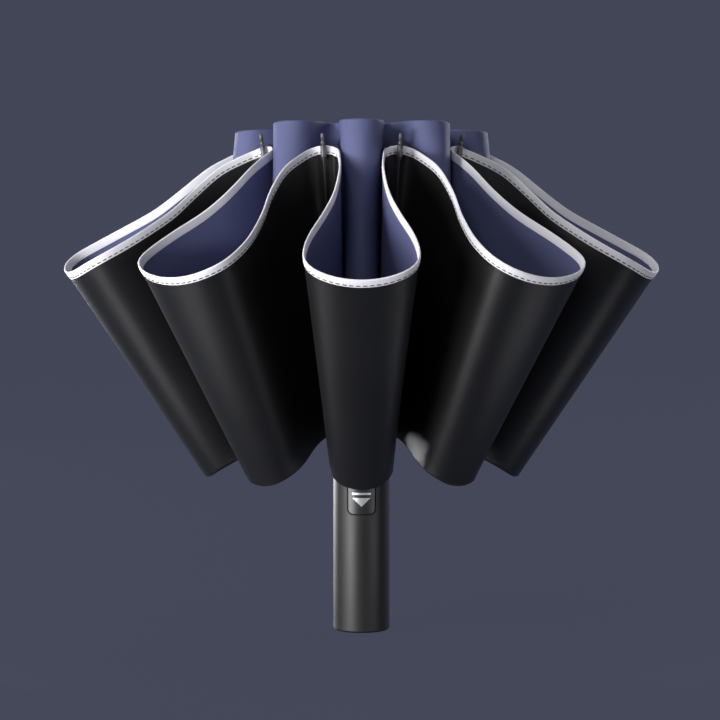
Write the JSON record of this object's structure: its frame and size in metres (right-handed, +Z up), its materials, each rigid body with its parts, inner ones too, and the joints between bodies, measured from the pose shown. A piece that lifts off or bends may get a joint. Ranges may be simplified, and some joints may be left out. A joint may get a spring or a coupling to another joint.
{
  "type": "folding umbrella",
  "caption": "Reverse-folding automatic umbrella with its shaft pushed in and its cloth unwrapped: black petals outside, blue inside, a pale hem binding and a round handle with a button.",
  "frame": {"origin": "centre of the flat base of the handle, on the surface that it stands on", "axes": "+Z up along the shaft, -Y to the front, where the button is, +X to the right seen from the front"},
  "size_m": [0.3484, 0.3582, 0.3052],
  "materials": {
    "handle_grip": "soft-touch matte",
    "button_face": "satin",
    "steel_tube": "drawn",
    "crown_nylon": "moulded",
    "rib_metal": "dark plated",
    "rib_rod": "dark plated",
    "cloth_blue": "fine plain weave",
    "cloth_black": "coated weave",
    "binding_white": "woven tape"
  },
  "bodies": {
    "handle": {"handle_body": "handle_grip", "handle_base": "handle_grip", "lower_tube": "steel_tube"},
    "button": {"button": "button_face"},
    "second_tube": {"second_tube": "steel_tube"},
    "third_tube": {"third_tube": "steel_tube"},
    "upper_shaft": {"upper_tube": "steel_tube", "crown": "crown_nylon", "crown_cap": "crown_nylon", "canopy_funnel": "cloth_blue", "canopy_inner_wall": "cloth_blue", "canopy_petals": "cloth_black", "hem_binding": "binding_white"},
    "runner": {"runner": "crown_nylon"},
    "inner_rib_01": {"inner_rib_01": "rib_metal"},
    "inner_rib_02": {"inner_rib_02": "rib_metal"},
    "inner_rib_03": {"inner_rib_03": "rib_metal"},
    "inner_rib_04": {"inner_rib_04": "rib_metal"},
    "inner_rib_05": {"inner_rib_05": "rib_metal"},
    "inner_rib_06": {"inner_rib_06": "rib_metal"},
    "inner_rib_07": {"inner_rib_07": "rib_metal"},
    "inner_rib_08": {"inner_rib_08": "rib_metal"},
    "inner_rib_09": {"inner_rib_09": "rib_metal"},
    "inner_rib_10": {"inner_rib_10": "rib_metal"},
    "stretcher_01": {"stretcher_01": "rib_metal"},
    "middle_rib_01": {"middle_rib_01": "rib_metal"},
    "outer_rib_01": {"outer_rib_01": "rib_rod"},
    "stretcher_02": {"stretcher_02": "rib_metal"},
    "middle_rib_02": {"middle_rib_02": "rib_metal"},
    "outer_rib_02": {"outer_rib_02": "rib_rod"},
    "stretcher_03": {"stretcher_03": "rib_metal"},
    "middle_rib_03": {"middle_rib_03": "rib_metal"},
    "outer_rib_03": {"outer_rib_03": "rib_rod"},
    "stretcher_04": {"stretcher_04": "rib_metal"},
    "middle_rib_04": {"middle_rib_04": "rib_metal"},
    "outer_rib_04": {"outer_rib_04": "rib_rod"},
    "stretcher_05": {"stretcher_05": "rib_metal"},
    "middle_rib_05": {"middle_rib_05": "rib_metal"},
    "outer_rib_05": {"outer_rib_05": "rib_rod"},
    "stretcher_06": {"stretcher_06": "rib_metal"},
    "middle_rib_06": {"middle_rib_06": "rib_metal"},
    "outer_rib_06": {"outer_rib_06": "rib_rod"},
    "stretcher_07": {"stretcher_07": "rib_metal"},
    "middle_rib_07": {"middle_rib_07": "rib_metal"},
    "outer_rib_07": {"outer_rib_07": "rib_rod"},
    "stretcher_08": {"stretcher_08": "rib_metal"},
    "middle_rib_08": {"middle_rib_08": "rib_metal"},
    "outer_rib_08": {"outer_rib_08": "rib_rod"},
    "stretcher_09": {"stretcher_09": "rib_metal"},
    "middle_rib_09": {"middle_rib_09": "rib_metal"},
    "outer_rib_09": {"outer_rib_09": "rib_rod"},
    "stretcher_10": {"stretcher_10": "rib_metal"},
    "middle_rib_10": {"middle_rib_10": "rib_metal"},
    "outer_rib_10": {"outer_rib_10": "rib_rod"}
  },
  "joints": [
    {"name": "button_press", "type": "slide", "parent": "handle", "child": "button", "axis": [0, 1, 0], "range_m": [0, 0.002], "stiffness_N_per_m": 400},
    {"name": "second_tube_slide", "type": "slide", "parent": "handle", "child": "second_tube", "axis": [0, 0, 1], "range_m": [0, 0.115]},
    {"name": "third_tube_slide", "type": "slide", "parent": "second_tube", "child": "third_tube", "axis": [0, 0, 1], "range_m": [0, 0.115]},
    {"name": "upper_tube_slide", "type": "slide", "parent": "third_tube", "child": "upper_shaft", "axis": [0, 0, 1], "range_m": [0, 0.115]},
    {"name": "inner_rib_fold_01", "type": "hinge", "parent": "upper_shaft", "child": "inner_rib_01", "pos_m": [0.0034, -0.01046, 0.152], "axis": [0.9511, 0.309, 0], "range_deg": [-2, 4], "deforming": ["canopy_funnel", "canopy_inner_wall", "canopy_petals", "hem_binding"]},
    {"name": "inner_rib_fold_02", "type": "hinge", "parent": "upper_shaft", "child": "inner_rib_02", "pos_m": [0.0089, -0.00647, 0.152], "axis": [0.5878, 0.809, 0], "range_deg": [-2, 4]},
    {"name": "inner_rib_fold_03", "type": "hinge", "parent": "upper_shaft", "child": "inner_rib_03", "pos_m": [0.011, 0, 0.152], "axis": [0, 1, 0], "range_deg": [-2, 4]},
    {"name": "inner_rib_fold_04", "type": "hinge", "parent": "upper_shaft", "child": "inner_rib_04", "pos_m": [0.0089, 0.00647, 0.152], "axis": [-0.5878, 0.809, 0], "range_deg": [-2, 4]},
    {"name": "inner_rib_fold_05", "type": "hinge", "parent": "upper_shaft", "child": "inner_rib_05", "pos_m": [0.0034, 0.01046, 0.152], "axis": [-0.9511, 0.309, 0], "range_deg": [-2, 4]},
    {"name": "inner_rib_fold_06", "type": "hinge", "parent": "upper_shaft", "child": "inner_rib_06", "pos_m": [-0.0034, 0.01046, 0.152], "axis": [-0.9511, -0.309, 0], "range_deg": [-2, 4]},
    {"name": "inner_rib_fold_07", "type": "hinge", "parent": "upper_shaft", "child": "inner_rib_07", "pos_m": [-0.0089, 0.00647, 0.152], "axis": [-0.5878, -0.809, 0], "range_deg": [-2, 4]},
    {"name": "inner_rib_fold_08", "type": "hinge", "parent": "upper_shaft", "child": "inner_rib_08", "pos_m": [-0.011, 0, 0.152], "axis": [0, -1, 0], "range_deg": [-2, 4]},
    {"name": "inner_rib_fold_09", "type": "hinge", "parent": "upper_shaft", "child": "inner_rib_09", "pos_m": [-0.0089, -0.00647, 0.152], "axis": [0.5878, -0.809, 0], "range_deg": [-2, 4]},
    {"name": "inner_rib_fold_10", "type": "hinge", "parent": "upper_shaft", "child": "inner_rib_10", "pos_m": [-0.0034, -0.01046, 0.152], "axis": [0.9511, -0.309, 0], "range_deg": [-2, 4]},
    {"name": "runner_slide", "type": "slide", "parent": "upper_shaft", "child": "runner", "axis": [0, 0, 1], "range_m": [-0.0005, 0.0003]},
    {"name": "stretcher_fold_01", "type": "hinge", "parent": "runner", "child": "stretcher_01", "pos_m": [0.00433, -0.01331, 0.134], "axis": [0.9511, 0.309, 0], "range_deg": [-1.5, 2.96]},
    {"name": "middle_rib_fold_01", "type": "hinge", "parent": "inner_rib_01", "child": "middle_rib_01", "pos_m": [0.01329, -0.0409, 0.296], "axis": [0.9511, 0.309, 0], "range_deg": [-0.87, 0.46]},
    {"name": "outer_rib_fold_01", "type": "hinge", "parent": "middle_rib_01", "child": "outer_rib_01", "pos_m": [0.01162, -0.03576, 0.1165], "axis": [0.9511, 0.309, 0], "range_deg": [-0.35, 0.65]},
    {"name": "stretcher_fold_02", "type": "hinge", "parent": "runner", "child": "stretcher_02", "pos_m": [0.01133, -0.00823, 0.134], "axis": [0.5878, 0.809, 0], "range_deg": [-1.5, 2.96]},
    {"name": "middle_rib_fold_02", "type": "hinge", "parent": "inner_rib_02", "child": "middle_rib_02", "pos_m": [0.03479, -0.02527, 0.296], "axis": [0.5878, 0.809, 0], "range_deg": [-0.87, 0.46]},
    {"name": "outer_rib_fold_02", "type": "hinge", "parent": "middle_rib_02", "child": "outer_rib_02", "pos_m": [0.03042, -0.0221, 0.1165], "axis": [0.5878, 0.809, 0], "range_deg": [-0.35, 0.65]},
    {"name": "stretcher_fold_03", "type": "hinge", "parent": "runner", "child": "stretcher_03", "pos_m": [0.014, 0, 0.134], "axis": [0, 1, 0], "range_deg": [-1.5, 2.96]},
    {"name": "middle_rib_fold_03", "type": "hinge", "parent": "inner_rib_03", "child": "middle_rib_03", "pos_m": [0.043, 0, 0.296], "axis": [0, 1, 0], "range_deg": [-0.87, 0.46]},
    {"name": "outer_rib_fold_03", "type": "hinge", "parent": "middle_rib_03", "child": "outer_rib_03", "pos_m": [0.0376, 0, 0.1165], "axis": [0, 1, 0], "range_deg": [-0.35, 0.65]},
    {"name": "stretcher_fold_04", "type": "hinge", "parent": "runner", "child": "stretcher_04", "pos_m": [0.01133, 0.00823, 0.134], "axis": [-0.5878, 0.809, 0], "range_deg": [-1.5, 2.96]},
    {"name": "middle_rib_fold_04", "type": "hinge", "parent": "inner_rib_04", "child": "middle_rib_04", "pos_m": [0.03479, 0.02527, 0.296], "axis": [-0.5878, 0.809, 0], "range_deg": [-0.87, 0.46]},
    {"name": "outer_rib_fold_04", "type": "hinge", "parent": "middle_rib_04", "child": "outer_rib_04", "pos_m": [0.03042, 0.0221, 0.1165], "axis": [-0.5878, 0.809, 0], "range_deg": [-0.35, 0.65]},
    {"name": "stretcher_fold_05", "type": "hinge", "parent": "runner", "child": "stretcher_05", "pos_m": [0.00433, 0.01331, 0.134], "axis": [-0.9511, 0.309, 0], "range_deg": [-1.5, 2.96]},
    {"name": "middle_rib_fold_05", "type": "hinge", "parent": "inner_rib_05", "child": "middle_rib_05", "pos_m": [0.01329, 0.0409, 0.296], "axis": [-0.9511, 0.309, 0], "range_deg": [-0.87, 0.46]},
    {"name": "outer_rib_fold_05", "type": "hinge", "parent": "middle_rib_05", "child": "outer_rib_05", "pos_m": [0.01162, 0.03576, 0.1165], "axis": [-0.9511, 0.309, 0], "range_deg": [-0.35, 0.65]},
    {"name": "stretcher_fold_06", "type": "hinge", "parent": "runner", "child": "stretcher_06", "pos_m": [-0.00433, 0.01331, 0.134], "axis": [-0.9511, -0.309, 0], "range_deg": [-1.5, 2.96]},
    {"name": "middle_rib_fold_06", "type": "hinge", "parent": "inner_rib_06", "child": "middle_rib_06", "pos_m": [-0.01329, 0.0409, 0.296], "axis": [-0.9511, -0.309, 0], "range_deg": [-0.87, 0.46]},
    {"name": "outer_rib_fold_06", "type": "hinge", "parent": "middle_rib_06", "child": "outer_rib_06", "pos_m": [-0.01162, 0.03576, 0.1165], "axis": [-0.9511, -0.309, 0], "range_deg": [-0.35, 0.65]},
    {"name": "stretcher_fold_07", "type": "hinge", "parent": "runner", "child": "stretcher_07", "pos_m": [-0.01133, 0.00823, 0.134], "axis": [-0.5878, -0.809, 0], "range_deg": [-1.5, 2.96]},
    {"name": "middle_rib_fold_07", "type": "hinge", "parent": "inner_rib_07", "child": "middle_rib_07", "pos_m": [-0.03479, 0.02527, 0.296], "axis": [-0.5878, -0.809, 0], "range_deg": [-0.87, 0.46]},
    {"name": "outer_rib_fold_07", "type": "hinge", "parent": "middle_rib_07", "child": "outer_rib_07", "pos_m": [-0.03042, 0.0221, 0.1165], "axis": [-0.5878, -0.809, 0], "range_deg": [-0.35, 0.65]},
    {"name": "stretcher_fold_08", "type": "hinge", "parent": "runner", "child": "stretcher_08", "pos_m": [-0.014, 0, 0.134], "axis": [0, -1, 0], "range_deg": [-1.5, 2.96]},
    {"name": "middle_rib_fold_08", "type": "hinge", "parent": "inner_rib_08", "child": "middle_rib_08", "pos_m": [-0.043, 0, 0.296], "axis": [0, -1, 0], "range_deg": [-0.87, 0.46]},
    {"name": "outer_rib_fold_08", "type": "hinge", "parent": "middle_rib_08", "child": "outer_rib_08", "pos_m": [-0.0376, 0, 0.1165], "axis": [0, -1, 0], "range_deg": [-0.35, 0.65]},
    {"name": "stretcher_fold_09", "type": "hinge", "parent": "runner", "child": "stretcher_09", "pos_m": [-0.01133, -0.00823, 0.134], "axis": [0.5878, -0.809, 0], "range_deg": [-1.5, 2.96]},
    {"name": "middle_rib_fold_09", "type": "hinge", "parent": "inner_rib_09", "child": "middle_rib_09", "pos_m": [-0.03479, -0.02527, 0.296], "axis": [0.5878, -0.809, 0], "range_deg": [-0.87, 0.46]},
    {"name": "outer_rib_fold_09", "type": "hinge", "parent": "middle_rib_09", "child": "outer_rib_09", "pos_m": [-0.03042, -0.0221, 0.1165], "axis": [0.5878, -0.809, 0], "range_deg": [-0.35, 0.65]},
    {"name": "stretcher_fold_10", "type": "hinge", "parent": "runner", "child": "stretcher_10", "pos_m": [-0.00433, -0.01331, 0.134], "axis": [0.9511, -0.309, 0], "range_deg": [-1.5, 2.96]},
    {"name": "middle_rib_fold_10", "type": "hinge", "parent": "inner_rib_10", "child": "middle_rib_10", "pos_m": [-0.01329, -0.0409, 0.296], "axis": [0.9511, -0.309, 0], "range_deg": [-0.87, 0.46]},
    {"name": "outer_rib_fold_10", "type": "hinge", "parent": "middle_rib_10", "child": "outer_rib_10", "pos_m": [-0.01162, -0.03576, 0.1165], "axis": [0.9511, -0.309, 0], "range_deg": [-0.35, 0.65]}
  ],
  "couplings": [
    {"joint": "third_tube_slide", "follows": "second_tube_slide", "ratio": 1},
    {"joint": "upper_tube_slide", "follows": "second_tube_slide", "ratio": 1},
    {"joint": "inner_rib_fold_02", "follows": "inner_rib_fold_01", "ratio": 1},
    {"joint": "inner_rib_fold_03", "follows": "inner_rib_fold_01", "ratio": 1},
    {"joint": "inner_rib_fold_04", "follows": "inner_rib_fold_01", "ratio": 1},
    {"joint": "inner_rib_fold_05", "follows": "inner_rib_fold_01", "ratio": 1},
    {"joint": "inner_rib_fold_06", "follows": "inner_rib_fold_01", "ratio": 1},
    {"joint": "inner_rib_fold_07", "follows": "inner_rib_fold_01", "ratio": 1},
    {"joint": "inner_rib_fold_08", "follows": "inner_rib_fold_01", "ratio": 1},
    {"joint": "inner_rib_fold_09", "follows": "inner_rib_fold_01", "ratio": 1},
    {"joint": "inner_rib_fold_10", "follows": "inner_rib_fold_01", "ratio": 1},
    {"joint": "runner_slide", "follows": "inner_rib_fold_01", "m_per_rad": -0.0056},
    {"joint": "stretcher_fold_01", "follows": "inner_rib_fold_01", "ratio": 0.727},
    {"joint": "middle_rib_fold_01", "follows": "inner_rib_fold_01", "ratio": -0.205},
    {"joint": "outer_rib_fold_01", "follows": "inner_rib_fold_01", "ratio": 0.15},
    {"joint": "stretcher_fold_02", "follows": "inner_rib_fold_01", "ratio": 0.727},
    {"joint": "middle_rib_fold_02", "follows": "inner_rib_fold_01", "ratio": -0.205},
    {"joint": "outer_rib_fold_02", "follows": "inner_rib_fold_01", "ratio": 0.15},
    {"joint": "stretcher_fold_03", "follows": "inner_rib_fold_01", "ratio": 0.727},
    {"joint": "middle_rib_fold_03", "follows": "inner_rib_fold_01", "ratio": -0.205},
    {"joint": "outer_rib_fold_03", "follows": "inner_rib_fold_01", "ratio": 0.15},
    {"joint": "stretcher_fold_04", "follows": "inner_rib_fold_01", "ratio": 0.727},
    {"joint": "middle_rib_fold_04", "follows": "inner_rib_fold_01", "ratio": -0.205},
    {"joint": "outer_rib_fold_04", "follows": "inner_rib_fold_01", "ratio": 0.15},
    {"joint": "stretcher_fold_05", "follows": "inner_rib_fold_01", "ratio": 0.727},
    {"joint": "middle_rib_fold_05", "follows": "inner_rib_fold_01", "ratio": -0.205},
    {"joint": "outer_rib_fold_05", "follows": "inner_rib_fold_01", "ratio": 0.15},
    {"joint": "stretcher_fold_06", "follows": "inner_rib_fold_01", "ratio": 0.727},
    {"joint": "middle_rib_fold_06", "follows": "inner_rib_fold_01", "ratio": -0.205},
    {"joint": "outer_rib_fold_06", "follows": "inner_rib_fold_01", "ratio": 0.15},
    {"joint": "stretcher_fold_07", "follows": "inner_rib_fold_01", "ratio": 0.727},
    {"joint": "middle_rib_fold_07", "follows": "inner_rib_fold_01", "ratio": -0.205},
    {"joint": "outer_rib_fold_07", "follows": "inner_rib_fold_01", "ratio": 0.15},
    {"joint": "stretcher_fold_08", "follows": "inner_rib_fold_01", "ratio": 0.727},
    {"joint": "middle_rib_fold_08", "follows": "inner_rib_fold_01", "ratio": -0.205},
    {"joint": "outer_rib_fold_08", "follows": "inner_rib_fold_01", "ratio": 0.15},
    {"joint": "stretcher_fold_09", "follows": "inner_rib_fold_01", "ratio": 0.727},
    {"joint": "middle_rib_fold_09", "follows": "inner_rib_fold_01", "ratio": -0.205},
    {"joint": "outer_rib_fold_09", "follows": "inner_rib_fold_01", "ratio": 0.15},
    {"joint": "stretcher_fold_10", "follows": "inner_rib_fold_01", "ratio": 0.727},
    {"joint": "middle_rib_fold_10", "follows": "inner_rib_fold_01", "ratio": -0.205},
    {"joint": "outer_rib_fold_10", "follows": "inner_rib_fold_01", "ratio": 0.15}
  ]
}
